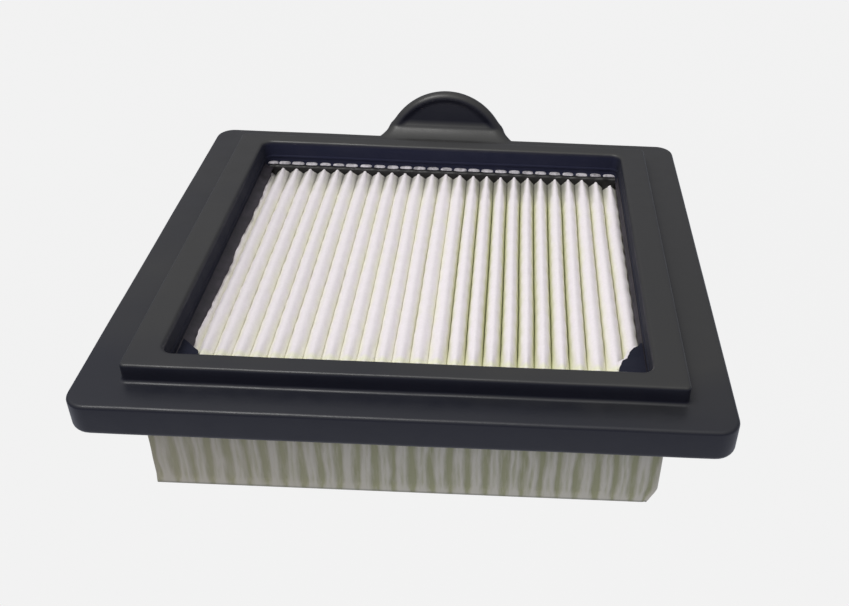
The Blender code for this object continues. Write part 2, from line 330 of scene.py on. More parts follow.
def new_finish(name):
    """A node material with its tree, its shader and the place on the piece."""
    material = bpy.data.materials.new(name)
    material.use_nodes = True
    tree = material.node_tree
    place = add_node(tree, "ShaderNodeTexCoord").outputs["Object"]
    return material, tree, tree.nodes["Principled BSDF"], place


def split_axes(tree, vector):
    """The X, Y and Z of a vector."""
    return add_node(tree, "ShaderNodeSeparateXYZ", Vector=vector).outputs


def add_node(tree, kind, settings=None, **sockets):
    """Add a node, set it up and fill its sockets with values or links."""
    made = tree.nodes.new(kind)
    for name, value in (settings or {}).items():
        setattr(made, name, value)
    for name, value in sockets.items():
        socket = made.inputs[int(name[1:])] if name[0] == "n" and name[1:].isdigit() else made.inputs[name]
        if isinstance(value, bpy.types.NodeSocket):
            tree.links.new(value, socket)
        else:
            socket.default_value = value
    return made


def add_noise(tree, place, scale, detail=3.0, roughness=0.5):
    """A noise texture's value."""
    return add_node(tree, "ShaderNodeTexNoise", Vector=place, Scale=scale, Detail=detail,
                    Roughness=roughness).outputs[0]


def add_ramp(tree, value, stops):
    """A colour ramp from (place, colour) stops."""
    made = add_node(tree, "ShaderNodeValToRGB", Fac=value)
    elements = made.color_ramp.elements
    while len(elements) < len(stops):
        elements.new(0.5)
    for element, (place, shade) in zip(elements, stops):
        element.position = place
        element.color = (*shade, 1.0)
    return made.outputs[0]


def add_range(tree, value, low, high, to_low, to_high):
    """A value moved from one range to another, and held inside it."""
    made = add_node(tree, "ShaderNodeMapRange", Value=value)
    for index, number in enumerate((low, high, to_low, to_high), start=1):
        made.inputs[index].default_value = number
    return made.outputs[0]


def add_mix(tree, share, first, second, blend="MIX"):
    """Two colours mixed."""
    made = add_node(tree, "ShaderNodeMix", {"data_type": "RGBA", "blend_type": blend})
    for index, value in ((0, share), (6, first), (7, second)):
        if isinstance(value, bpy.types.NodeSocket):
            tree.links.new(value, made.inputs[index])
        else:
            made.inputs[index].default_value = (*value, 1.0) if isinstance(value, tuple) else value
    return made.outputs[2]


def add_math(tree, operation, first, second):
    """Two values put together."""
    return add_node(tree, "ShaderNodeMath", {"operation": operation}, n0=first, n1=second).outputs[0]


def add_bump(tree, shader, layers):
    """Chained bumps, each a (height, strength, distance)."""
    normal = None
    for height, strength, distance in layers:
        made = add_node(tree, "ShaderNodeBump", Height=height, Strength=strength, Distance=distance)
        if normal is not None:
            tree.links.new(normal, made.inputs["Normal"])
        normal = made.outputs[0]
    tree.links.new(normal, shader.inputs["Normal"])


def moulded_rubber():
    """Black integral skin with a slow tint, an uneven gloss, a fine grain and a few specks of dust, and
    with painted light and shade: lighter towards the back, the right and the raised parts, darker and bluer
    on upright faces and down inside the opening.
    """
    colours = bpy.context.scene.filter_colours
    material, tree, shader, place = new_finish("moulded_rubber_skin")
    axes = split_axes(tree, place)
    tint = add_noise(tree, place, 24.0, 2.0)
    # Painted light and shade: these ranges make the skin cooler and darker towards the front and the left,
    # and warmer and lighter on the raised step and tab; the noise tint is the skin's own uneven tone.
    along = add_range(tree, axes["Y"], -68.0 * MM, -30.0 * MM, -0.35, 0.25)
    height = add_range(tree, axes["Z"], 25.5 * MM, 29.0 * MM, 0.0, 0.25)
    across = add_range(tree, axes["X"], -69.0 * MM, 69.0 * MM, -0.20, 0.16)
    share = add_math(tree, "ADD", add_math(tree, "ADD", tint, along),
                     add_math(tree, "ADD", height, across))
    skin = add_ramp(tree, share, [(0.30, colours.rubber_cool_shaded), (0.75, colours.rubber_warm_lit)])
    # Painted shade: upright faces get a darker, bluer skin.
    facing = add_node(tree, "ShaderNodeTexCoord").outputs["Normal"]
    upward = split_axes(tree, facing)["Z"]
    upright = add_range(tree, upward, 0.3, 0.7, 1.0, 0.0)
    skin = add_mix(tree, upright, skin, tuple(colours.rubber_upright_shade))
    # Painted shade: the skin down inside the opening is darker, and bluer on its rear wall.
    opening = moulding_plans(bpy.context.scene.filter_moulding)["opening"]
    front_wall, rear_wall = opening["y"]
    between = add_math(tree, "LESS_THAN", add_math(tree, "ABSOLUTE", axes["X"], 0.0),
                       opening["x"][1] + 0.6 * MM)
    behind = add_math(tree, "GREATER_THAN", axes["Y"], front_wall - 0.45 * MM)
    before = add_math(tree, "LESS_THAN", axes["Y"], rear_wall + 0.5 * MM)
    low = add_range(tree, axes["Z"], 29.0 * MM, 30.0 * MM, 1.0, 0.0)
    inside = add_math(tree, "MULTIPLY", add_math(tree, "MULTIPLY", between, behind),
                      add_math(tree, "MULTIPLY", before, low))
    rear = add_range(tree, axes["Y"], rear_wall - 1.5 * MM, rear_wall - 0.2 * MM, 0.0, 1.0)
    wall = add_mix(tree, rear, tuple(colours.rubber_inside_shade), tuple(colours.rubber_rear_wall_shade))
    skin = add_mix(tree, inside, skin, wall)
    cells = add_node(tree, "ShaderNodeTexVoronoi", Vector=place, Scale=95.0, Randomness=1.0)
    near = add_math(tree, "LESS_THAN", cells.outputs["Distance"], 0.034)
    chosen = add_node(tree, "ShaderNodeSeparateColor", Color=cells.outputs["Color"]).outputs[0]
    speck = add_math(tree, "MULTIPLY", near, add_math(tree, "GREATER_THAN", chosen, 0.91))
    tree.links.new(add_mix(tree, speck, skin, tuple(colours.dust)), shader.inputs["Base Color"])
    wear = add_noise(tree, place, 190.0, 4.0)
    gloss = add_range(tree, wear, 0.3, 0.7, 0.33, 0.45)
    dull = add_math(tree, "MULTIPLY", inside, 0.5)
    tree.links.new(add_math(tree, "ADD", gloss, dull), shader.inputs["Roughness"])
    add_bump(tree, shader, [
        (add_noise(tree, place, 70.0, 2.0), 0.25, 0.0006),
        (add_noise(tree, place, 1700.0, 2.0), 0.16, 0.00010),
    ])
    return material


def pleated_finish():
    """White filter paper, pinkish along the crests, with painted shade that darkens it to olive down in the
    folds, and a fibre grain.
    """
    colours = bpy.context.scene.filter_colours
    material, tree, shader, place = new_finish("embossed_filter_paper")
    axes = split_axes(tree, place)
    # Painted shade: the paper darkens and turns olive with its depth below the crest.
    depth = add_node(tree, "ShaderNodeAttribute", {"attribute_name": "fold_depth"}).outputs["Fac"]
    level = add_range(tree, depth, 0.0, 8.0, 0.0, 1.0)
    patch = add_noise(tree, place, 120.0, 2.0)
    level = add_math(tree, "ADD", level, add_range(tree, patch, 0.3, 0.7, -0.03, 0.03))
    sheet = add_ramp(tree, level, [(0.03, colours.crest), (0.16, colours.flank), (0.40, colours.side),
                                   (0.75, colours.valley)])
    fibre = add_noise(tree, place, 1400.0, 5.0, 0.65)
    fleck = add_ramp(tree, fibre, [(0.25, (0.93, 0.93, 0.92)), (0.75, (1.0, 1.0, 1.0))])
    # Grey rubber film and painted shade: the folds darken to grey near both ends of the pleats, more so
    # with depth.
    near_rear = add_range(tree, axes["Y"], FRONT + 96.0 * MM, FRONT + 107.0 * MM, 0.0, 0.75)
    near_front = add_range(tree, axes["Y"], FRONT + 17.0 * MM, FRONT + 21.5 * MM, 0.85, 0.0)
    for near in (near_rear, near_front):
        film_and_shade_share = add_math(tree, "MULTIPLY", near, add_range(tree, depth, 0.25, 1.3, 0.0, 1.0))
        sheet = add_mix(tree, film_and_shade_share, sheet, tuple(colours.end_film_and_shade))
    # Painted highlight: a yellowish band across the crests 20.5 to 24 mm behind the front edge, placed
    # where it shows along the opening's front rim from the camera.
    rim_highlight_share = add_math(tree, "MULTIPLY",
                     add_range(tree, axes["Y"], FRONT + 22.4 * MM, FRONT + 24.0 * MM, 0.60, 0.0),
                     add_range(tree, axes["Y"], FRONT + 20.5 * MM, FRONT + 22.0 * MM, 0.0, 1.0))
    sheet = add_mix(tree, rim_highlight_share, sheet, tuple(colours.rim_highlight))
    # Painted shade: the paper is greyer towards the left.
    left_shade_share = add_range(tree, axes["X"], -45.0 * MM, 12.0 * MM, 0.16, 0.0)
    sheet = add_mix(tree, left_shade_share, sheet, tuple(colours.left_shade))
    tree.links.new(add_mix(tree, 1.0, sheet, fleck, "MULTIPLY"), shader.inputs["Base Color"])
    shader.inputs["Roughness"].default_value = 0.9
    shader.inputs["Specular IOR Level"].default_value = 0.25
    along = add_node(tree, "ShaderNodeMapping", Vector=place, Scale=(1.0, 0.45, 1.0)).outputs[0]
    dimples = add_noise(tree, along, 620.0, 2.0)
    add_bump(tree, shader, [(dimples, 0.30, 0.0004), (fibre, 0.25, 0.00008)])
    return material


def pleat_end_finish():
    """Pinched and glued paper: pale ridges, with painted shade that makes the hollows between them olive.
    """
    colours = bpy.context.scene.filter_colours
    material, tree, shader, place = new_finish("crimped_pleat_ends")
    axes = split_axes(tree, place)
    relief = add_node(tree, "ShaderNodeAttribute", {"attribute_name": "relief"}).outputs["Fac"]
    streak = add_node(tree, "ShaderNodeMapping", Vector=place, Scale=(1.0, 1.0, 0.12)).outputs[0]
    streaks = add_noise(tree, streak, 1000.0, 5.0, 0.62)
    share = add_math(tree, "ADD", relief, add_range(tree, streaks, 0.3, 0.7, -0.42, 0.42))
    middle = tuple((a + b) / 2 for a, b in zip(colours.end_ridge, colours.end_recess_shade))
    # Painted shade: the pinched ends are olive in the hollows, dimmer in each fold's groove and where the
    # fold turns under, and pale on the ridges.
    fold = add_ramp(tree, share, [(0.02, colours.end_recess_shade), (0.45, middle), (0.95, colours.end_ridge)])
    beige = add_range(tree, axes["X"], -55.0 * MM, 5.0 * MM, 0.75, 0.0)
    fold = add_mix(tree, beige, fold, add_mix(tree, 0.5, fold, tuple(colours.end_beige)))
    # The folds' ends turn paler and yellow-green just under the flange.
    rim = add_range(tree, axes["Z"], 16.0 * MM, 17.4 * MM, 0.0, 0.75)
    fold = add_mix(tree, rim, fold, tuple(colours.end_rim))
    # The folds' ends darken towards their lower edge.
    hem = add_range(tree, axes["Z"], 0.2 * MM, 1.0 * MM, 0.75, 0.0)
    fold = add_mix(tree, hem, fold, tuple(colours.end_hem))
    tree.links.new(fold, shader.inputs["Base Color"])
    shader.inputs["Roughness"].default_value = 0.85
    shader.inputs["Specular IOR Level"].default_value = 0.25
    add_bump(tree, shader, [(streaks, 0.35, 0.00015), (add_noise(tree, place, 1500.0, 4.0), 0.2, 0.00006)])
    return material


def smeared_finish():
    """Paper smeared with rubber, in pale and grey patches."""
    colours = bpy.context.scene.filter_colours
    material, tree, shader, place = new_finish("smeared_crest_paper")
    patch = add_noise(tree, place, 700.0, 3.0, 0.6)
    film = tuple(0.35 * c for c in colours.smear)
    smear = add_ramp(tree, patch, [(0.32, film), (0.62, colours.smear)])
    tree.links.new(smear, shader.inputs["Base Color"])
    shader.inputs["Roughness"].default_value = 0.7
    add_bump(tree, shader, [(patch, 0.4, 0.0002)])
    return material


def skin_finish(name, shade):
    """Thin, mottled adhesive or rubber skin."""
    material, tree, shader, place = new_finish(name)
    mottle = add_noise(tree, place, 420.0, 4.0, 0.6)
    dark = tuple(0.35 * c for c in shade)
    skin = add_ramp(tree, mottle, [(0.30, dark), (0.70, shade)])
    tree.links.new(skin, shader.inputs["Base Color"])
    tree.links.new(add_range(tree, mottle, 0.3, 0.7, 0.38, 0.62), shader.inputs["Roughness"])
    add_bump(tree, shader, [(mottle, 0.4, 0.0003)])
    return material


# The moulding.


def plan(low_x, high_x, low_y, high_y, corner):
    """A rounded rectangle in plan."""
    return {"x": (low_x, high_x), "y": (low_y, high_y), "corner": corner}


SIDE_STEPS = 40
CORNER_STEPS = 8


def plan_points(rectangle, grow):
    """Points round a rounded rectangle that is grown or shrunk, always the same number of them."""
    radius = max(rectangle["corner"] + grow, 0.05 * MM)
    low_x, high_x = rectangle["x"][0] - grow, rectangle["x"][1] + grow
    low_y, high_y = rectangle["y"][0] - grow, rectangle["y"][1] + grow
    centres = [(high_x - radius, low_y + radius, -pi / 2), (high_x - radius, high_y - radius, 0.0),
               (low_x + radius, high_y - radius, pi / 2), (low_x + radius, low_y + radius, pi)]
    points = []
    for index, (x, y, start) in enumerate(centres):
        for step in range(CORNER_STEPS + 1):
            angle = start + pi / 2 * step / CORNER_STEPS
            points.append((x + radius * cos(angle), y + radius * sin(angle)))
        next_x, next_y, next_start = centres[(index + 1) % 4]
        end = (next_x + radius * cos(next_start), next_y + radius * sin(next_start))
        begin = points[-1]
        for step in range(1, SIDE_STEPS):
            share = step / SIDE_STEPS
            points.append((begin[0] + (end[0] - begin[0]) * share, begin[1] + (end[1] - begin[1]) * share))
    return points


def section_arc(rectangle, centre_grow, centre_z, radius, start, end, steps=6, lift=0.0):
    """A round edge or fillet of the moulding's section, as (plan, grow, height, rear lift) points."""
    points = []
    for step in range(steps + 1):
        angle = radians(start + (end - start) * step / steps)
        points.append((rectangle, centre_grow + radius * cos(angle), centre_z + radius * sin(angle), lift))
    return points


def moulding_section(sizes, plans):
    """The moulding's whole section, from the pocket's roof over the ledge, rim, step and skirt and back."""
    top = sizes.flange_top
    step_top = top + sizes.step_height
    ledge = top - sizes.ledge_drop
    ledge_bottom = ledge - sizes.ledge_thickness
    opening, step, flange = plans["opening"], plans["step"], plans["flange"]
    throat, pocket = plans["throat"], plans["pocket"]
    bead_z = top - 0.4 * MM
    lip = 0.35 * MM
    foot = 0.55 * MM
    mouth = 0.5 * MM
    section = [(pocket, 0.0, ledge_bottom, 0.0), (throat, lip, ledge_bottom, 0.0)]
    section += [(throat, 0.0, ledge_bottom + lip, 0.0)]
    section += section_arc(throat, lip, ledge - lip, lip, 180, 90, 4, sizes.rear_lift)
    section += section_arc(opening, -foot, ledge + foot, foot, -90, 0, 4, sizes.rear_lift)
    section += [(opening, 0.0, bead_z - 0.45 * MM, 0.3 * sizes.rear_lift)]
    section += [(opening, -sizes.bead * 0.7, bead_z - 0.28 * MM, 0.0)]
    section += [(opening, -sizes.bead, bead_z, 0.0)]
    section += [(opening, -sizes.bead * 0.7, bead_z + 0.28 * MM, 0.0)]
    section += [(opening, 0.0, bead_z + 0.45 * MM, 0.0)]
    section += [(opening, 0.0, bead_z + 2.2 * MM, 0.0)]
    section += section_arc(opening, sizes.rim_round, step_top - sizes.rim_round, sizes.rim_round, 180,
                           90, 7)
    section += [(opening, 1.8 * MM, step_top, 0.0)]
    section += [(step, -1.8 * MM, step_top, 0.0)]
    section += section_arc(step, -sizes.step_round, step_top - sizes.step_round, sizes.step_round, 90, 0)
    section += [(step, 0.0, top + 2.2 * MM, 0.0)]
    section += section_arc(step, sizes.riser_fillet, top + sizes.riser_fillet, sizes.riser_fillet, 180,
                           270)
    section += [(step, 2.4 * MM, top, 0.0)]
    section += [(flange, -3.4 * MM, top, 0.0)]
    section += section_arc(flange, -sizes.flange_round, top - sizes.flange_round, sizes.flange_round, 90,
                           0, 7)
    section += [(flange, 0.0, top - 0.4 * (top - sizes.flange_bottom), 0.0)]
    section += section_arc(flange, -sizes.skirt_round, sizes.flange_bottom + sizes.skirt_round,
                           sizes.skirt_round, 0, -90, 7)
    section += [(flange, -4.0 * MM, sizes.flange_bottom, 0.0)]
    section += section_arc(pocket, mouth, sizes.flange_bottom + mouth, mouth, 270, 180, 4)
    return section


def build_ring(sizes, plans):
    """The moulding without its tab: the section swept round the opening."""
    section = moulding_section(sizes, plans)
    vertices = []
    for rectangle, grow, z, lift in section:
        rear = rectangle["y"][1] + grow
        for x, y in plan_points(rectangle, grow):
            rise = lift * smooth_step(y, rear - 5 * MM, rear - 0.5 * MM)
            slow = slow_noise(x, y, z, 26 * MM) + 0.5 * slow_noise(y, z, x, 11 * MM)
            sway = slow_noise(y, x, 0.5, 33 * MM)
            vertices.append((x + 0.6 * sizes.unevenness * sway, y + 0.6 * sizes.unevenness * slow,
                             z + rise + sizes.unevenness * slow))
    return np.array(vertices), ring_quads(len(section), len(vertices) // len(section), closed=True)


def tab_section(sizes, rear):
    """The tab's front face seen from the side, as (y, z) points: sunk root, ramp, bend and lug.

    The root and the ramp are in millimetres behind the flange's rear edge and above its upper face.
    """
    top = sizes.flange_top
    root_and_ramp = ((-4.6, -0.9), (-3.6, -0.6), (-2.5, -0.15), (-1.7, 0.12), (-0.8, 0.58), (0.2, 1.22),
                     (1.1, 1.92), (1.45, 2.28), (1.66, 2.62))
    points = [(rear + y * MM, top + z * MM) for y, z in root_and_ramp]
    centre_z = tab_outline(sizes)[0]
    begin = asin((top + 3.0 * MM - centre_z) / sizes.tab_radius)
    base_y, base_z = points[-1]
    for angle in np.linspace(begin, pi / 2, 23):
        z = centre_z + sizes.tab_radius * sin(angle)
        points.append((base_y + (z - base_z) * tan(sizes.tab_lean), z))
    return points


def tab_outline(sizes):
    """Heights of the tab's centre, of its fillets' centres and of where they meet, and the fillets' x."""
    centre_z = sizes.flange_top + sizes.tab_rise - sizes.tab_radius
    fillet_z = sizes.flange_top + sizes.tab_flare - 0.3 * MM
    spread = sizes.tab_radius + sizes.tab_flare
    fillet_x = sqrt(spread ** 2 - (fillet_z - centre_z) ** 2)
    touch_z = centre_z + (fillet_z - centre_z) * sizes.tab_radius / spread
    return centre_z, fillet_z, touch_z, fillet_x


def tab_half_width(sizes, z):
    """Half the tab's width at a height: a round top that widens into the flange through fillets."""
    centre_z, fillet_z, touch_z, fillet_x = tab_outline(sizes)
    if z >= touch_z:
        return sqrt(max(sizes.tab_radius ** 2 - (z - centre_z) ** 2, 0.0))
    drop = min(fillet_z - z, sizes.tab_flare)
    return fillet_x - sqrt(sizes.tab_flare ** 2 - drop ** 2)


def tab_inset(sizes, x, z):
    """How far a point of the tab lies inside its outline."""
    centre_z, fillet_z, touch_z, fillet_x = tab_outline(sizes)
    if z >= touch_z:
        return sizes.tab_radius - hypot(x, z - centre_z)
    return hypot(abs(x) - fillet_x, z - fillet_z) - sizes.tab_flare


def build_tab(sizes, rear):
    """The pull tab: a leaning lug with a full-round edge and a shallow dish in its front face."""
    section = tab_section(sizes, rear)
    half = sizes.tab_thickness / 2
    columns = [sin(pi / 2 * share) for share in np.linspace(-1.0, 1.0, 41)]
    front = np.zeros((len(section), len(columns), 3))
    back = np.zeros_like(front)
    for row, (y, z) in enumerate(section):
        before, after = section[max(row - 1, 0)], section[min(row + 1, len(section) - 1)]
        along = Vector((0.0, after[0] - before[0], after[1] - before[1])).normalized()
        out = Vector((0.0, -along.z, along.y))
        level = max(z, sizes.flange_top + 0.35 * MM)
        width = tab_half_width(sizes, level)
        for column, share in enumerate(columns):
            x = width * share
            edge = max(min(tab_inset(sizes, x, level), width - abs(x)), 0.0)
            inward = min(edge, half)
            thick = sqrt(max(half ** 2 - (half - inward) ** 2, 0.0))
            dish = sizes.tab_dish * float(smooth_step(edge, 1.9 * MM, 3.3 * MM))
            dish *= float(smooth_step(z, sizes.flange_top + 2.6 * MM, sizes.flange_top + 3.6 * MM))
            middle = Vector((x, y, z)) - out * half
            front[row, column] = middle + out * (thick - dish)
            back[row, column] = middle - out * thick
    return thick_grid(front, back)


def unite(obj, other):
    """Join two closed bodies into one, and shade the result."""
    modifier = obj.modifiers.new("unite", "BOOLEAN")
    modifier.operation = "UNION"
    modifier.solver = "EXACT"
    modifier.object = other
    graph = bpy.context.evaluated_depsgraph_get()
    mesh = bpy.data.meshes.new_from_object(obj.evaluated_get(graph))
    obj.modifiers.clear()
    obj.data = mesh
    bpy.data.objects.remove(other, do_unlink=True)
    bm = bmesh.new()
    bm.from_mesh(mesh)
    bmesh.ops.remove_doubles(bm, verts=bm.verts, dist=0.002 * MM)
    bm.to_mesh(mesh)
    bm.free()
    mesh.shade_smooth()
    mesh.set_sharp_from_angle(angle=radians(34.0))


def moulding_plans(sizes):
    """The rounded rectangles that the moulding's section follows."""
    rear = FRONT + sizes.flange_depth
    margin = 0.04 * MM
    side = FRAME_HIGH.x - margin
    step, opening = sizes.step_half, sizes.opening_half
    return {
        "flange": plan(-side, side, FRONT + margin, rear, sizes.flange_corner),
        "step": plan(-step, step, FRONT + sizes.step_front, rear - sizes.step_rear, 1.2 * MM),
        "opening": plan(-opening, opening, FRONT + sizes.opening_front, rear - sizes.opening_rear,
                        2.6 * MM),
        "throat": plan(-50.6 * MM, 51.0 * MM, FRONT + 15.3 * MM, rear - 17.8 * MM, 0.6 * MM),
        "pocket": plan(-54.9 * MM, 54.9 * MM, FRONT + 4.45 * MM, rear - 7.35 * MM, 0.3 * MM),
    }


class FILTER_OT_frame_moulding(bpy.types.Operator):
    """Make the moulded frame with its sealing step, ledge and pull tab"""

    bl_idname = "filter.frame_moulding"
    bl_label = "Frame moulding"

    def execute(self, context):
        sizes = context.scene.filter_moulding
        plans = moulding_plans(sizes)
        ring = make_object("frame_moulding", *build_ring(sizes, plans))
        tab = make_object("tab_body", *build_tab(sizes, plans["flange"]["y"][1]), weld=0.001 * MM)
        unite(ring, tab)
        place_piece(ring, moulded_rubber(), ["moulded_frame"])
        return {"FINISHED"}


# The paper.


def crest_table(sizes):
    """For each pleat its crest's place and height and the y at which it ends front and rear."""
    plans = moulding_plans(bpy.context.scene.filter_moulding)
    front_end = plans["throat"]["y"][0] + 0.5 * MM
    rear_end = plans["throat"]["y"][1] + 0.1 * MM
    hidden = MEDIA_HIGH.z - 0.3 * MM
    hidden_crest = 53.2 * MM
    low_crest = -49.8 * MM
    rows = [(-hidden_crest, hidden, front_end, rear_end),
            (low_crest, hidden + 1.5 * MM, front_end + 1 * MM, rear_end - 2.5 * MM)]
    for index in range(sizes.full_pleats):
        x = sizes.first_crest + sizes.pitch * index
        jitter = slow_noise(index * 0.83, 0.4, 0.2, 1.0)
        height = sizes.crest_height + 0.16 * MM * slow_noise(index * 0.61, 3.1, 0.7, 1.0)
        short = (0.0, 0.8 * MM, 2.4 * MM)[max(index - sizes.full_pleats + 3, 0)]
        rows.append((x + sizes.stray * jitter, height, front_end + 0.4 * MM * jitter,
                     rear_end - short + 0.6 * MM * slow_noise(index * 0.71, 5.3, 2.2, 1.0)))
    rows.append((hidden_crest, hidden, front_end, rear_end))
    return rows


def open_share(x):
    """How far the gap beside a pleat stays open, which it does right of the middle."""
    return smooth_step(x, 2 * MM, 16 * MM) * (1 - 0.6 * smooth_step(x, 33 * MM, 42 * MM))


def one_gap(x):
    """The single gaps near the middle that stand a little open, as 1 at each and 0 elsewhere."""
    width = 1.2 * MM
    return sum(np.exp(-((x - place) / width) ** 2) for place in (0.1 * MM, 7.6 * MM))


def tip_share(y, front_end, rear_end, reach, power=0.5):
    """1 along a pleat, falling to 0 at both ends; the lower the power, the blunter the end."""
    rear = np.clip((rear_end - y) / reach, 0.0, 1.0) ** power
    front = np.clip((y - front_end) / reach, 0.0, 1.0) ** power
    return np.minimum(rear, front)


def pleat_rows(low, high, front_end, rear_end):
    """Places along the pleats, closer together at their ends."""
    fine = 5.0 * MM
    spans = [(low, front_end - 1 * MM, 1.6 * MM),
             (front_end - 1 * MM, front_end + fine, 0.6 * MM),
             (front_end + fine, rear_end - fine, 0.86 * MM),
             (rear_end - fine, rear_end + 1 * MM, 0.36 * MM),
             (rear_end + 1 * MM, high, 1.6 * MM)]
    rows = [low]
    for start, end, spacing in spans:
        steps = max(int(round((end - start) / spacing)), 1)
        rows.extend(start + (end - start) * step / steps for step in range(1, steps + 1))
    return np.array(rows)


def corner_tuck(x, z, high_x):
    """How far the pack's lower right front corner is tucked in at a point."""
    reach = np.clip((x - high_x) / (4.2 * MM) + 1.0, 0.0, 1.0)
    return reach * np.maximum(2.1 * MM - 0.49 * z, 0.0)


def build_pleats(sizes):
    """The folded sheet as a closed body of even thickness."""
    table = crest_table(sizes)
    ys = pleat_rows(MEDIA_LOW.y + 0.1 * MM, MEDIA_HIGH.y - 0.1 * MM, table[2][2], table[2][3])
    hidden = MEDIA_HIGH.z - 0.3 * MM
    floor = MEDIA_LOW.z + sizes.paper / 2
    centres, pleats = [], []
    for index, (x, height, front, rear) in enumerate(table):
        wander = np.array([slow_noise(y, index * 17 * MM, 0.2, 31 * MM) for y in ys])
        wobble = np.array([slow_noise(y, index * 23 * MM, 0.9, 13 * MM) for y in ys])
        phase = pi * (index % 2) + 1.2 * slow_noise(index * 0.9, 1.7, 4.4, 1.0)
        bumps = np.cos(2 * pi * ys / sizes.emboss_spacing + phase + 0.8 * wander)
        body = tip_share(ys, front, rear, sizes.tip, 0.68)
        rise = tip_share(ys, front, rear, 1.6 * MM)
        centres.append(x + sizes.wander * wander * body)
        crest = height + 0.05 * MM * bumps + 0.10 * MM * wobble
        pleats.append({"height": hidden + (crest - hidden) * rise, "body": body,
                       "push": sizes.emboss * bumps + 0.05 * MM * wobble})
    ends = [np.full_like(ys, MEDIA_LOW.x + sizes.paper / 2),
            np.full_like(ys, MEDIA_HIGH.x - sizes.paper / 2)]
    valleys = [ends[0]] + [(a + b) / 2 for a, b in zip(centres, centres[1:])] + [ends[1]]
    columns = []
    for index, pleat in enumerate(pleats):
        left = pleat_side(sizes, centres[index], valleys[index], floor, pleat, index == 0)
        right = pleat_side(sizes, centres[index], valleys[index + 1], floor, pleat, index == len(table) - 1)
        crest = (centres[index], pleat["height"])
        for x, z in [*left, crest, *right[:0:-1]]:
            # fold_depth is the depth below the crest, held small near the lower folds and on the outermost
            # pleats; the paper's finish turns it into painted shade.
            depth = np.minimum(pleat["height"] - z, 0.35 * (z - floor) + 0.4 * MM)
            outer = index in (0, len(table) - 1)
            columns.append((x, z, np.minimum(depth, 0.5 * MM) if outer else depth))
    columns.append((valleys[-1], np.full_like(ys, floor), np.full_like(ys, 0.4 * MM)))
    xs = np.array([column[0] for column in columns]).T
    zs = np.array([column[1] for column in columns]).T
    along_x = np.gradient(xs, axis=1)
    along_z = np.gradient(zs, axis=1)
    size = np.maximum(np.hypot(along_x, along_z), 1e-9)
    normal_x, normal_z = -along_z / size, along_x / size
    grid_y = np.repeat(ys[:, None], xs.shape[1], axis=1)
    upper = np.stack([xs + normal_x * sizes.paper / 2, grid_y, zs + normal_z * sizes.paper / 2], axis=2)
    lower = np.stack([xs - normal_x * sizes.paper / 2, grid_y, zs - normal_z * sizes.paper / 2], axis=2)
    depth = np.array([column[2] for column in columns]).T.reshape(-1) / MM
    for side in (upper, lower):
        fade = smooth_step(side[:, :, 1], MEDIA_LOW.y + 8 * MM, MEDIA_LOW.y + 1 * MM)
        side[:, :, 0] -= corner_tuck(side[:, :, 0], side[:, :, 2], MEDIA_HIGH.x) * fade
    vertices, faces = thick_grid(upper, lower)
    return vertices, faces, np.concatenate([depth, depth])


def pleat_side(sizes, centre, valley, floor, pleat, outermost):
    """The lines of points up one side of a pleat, from the lower fold to just short of the crest."""
    toward = np.sign(centre - valley)
    fold = 0.12 * MM if outermost else sizes.valley_half
    columns = [(valley + toward * fold * sin(angle), floor + fold * (1 - cos(angle)) + 0 * valley)
               for angle in (0.0, pi / 4, pi / 2)]
    apart = np.clip(open_share(valley) + 0.22 * one_gap(valley), 0.0, 1.0)
    body, height = pleat["body"], pleat["height"]
    reach = np.abs(centre - valley) - sizes.paper / 2 - sizes.slit / 2
    least = 0.10 * MM
    clear = least + (sizes.open_slot_half - least) * apart
    shoulder = reach - clear + pleat["push"] - sizes.emboss
    shoulder = least + (shoulder - least) * body
    drop = sizes.shoulder_drop * (0.35 + 0.65 * body)
    slot = sizes.slot_drop + (sizes.open_slot_drop - sizes.slot_drop) * apart
    slot = slot + (sizes.end_drop - slot) * (1 - body)
    side_x, side_z = centre - toward * reach, height - slot
    for share in (0.45, 0.85):
        columns.append((columns[2][0] * (1 - share) + side_x * share,
                        columns[2][1] * (1 - share) + side_z * share))
    for share in (1.0, 0.7, 0.4, 0.15):
        columns.append((centre - toward * (shoulder + (reach - shoulder) * share),
                        height - drop - (slot - drop) * share))
    for share in (1.0, 0.84, 0.66, 0.46, 0.24):
        columns.append((centre - toward * shoulder * share, height - drop * share ** 1.7))
    return columns


class FILTER_OT_pleated_paper(bpy.types.Operator):
    """Make the folded sheet of embossed filter paper"""

    bl_idname = "filter.pleated_paper"
    bl_label = "Pleated paper"

    def execute(self, context):
        vertices, faces, depth = build_pleats(context.scene.filter_paper)
        sheet = make_object("pleated_paper", vertices, faces, sharp=60.0)
        add_point_values(sheet, "fold_depth", depth)
        place_piece(sheet, pleated_finish(), ["pleated_media"])
        return {"FINISHED"}


def pad(centre, size):
    """A small pillow-shaped body."""
    across = np.sin(np.linspace(-pi / 2, pi / 2, 11))
    along = np.sin(np.linspace(-pi / 2, pi / 2, 7))
    upper = np.zeros((len(along), len(across), 3))
    lower = np.zeros_like(upper)
    for row, y in enumerate(along):
        for column, x in enumerate(across):
            bulge = (max(1 - abs(x) ** 3.0, 0.0) * max(1 - abs(y) ** 2.4, 0.0)) ** 0.5
            squeeze = 1 - 0.35 * abs(x) ** 3
            spot = (centre[0] + size[0] / 2 * x, centre[1] + size[1] / 2 * y * squeeze)
            upper[row, column] = (*spot, centre[2] + size[2] * bulge)
            lower[row, column] = (*spot, centre[2] - 0.4 * size[2] * bulge)
    return thick_grid(upper, lower)


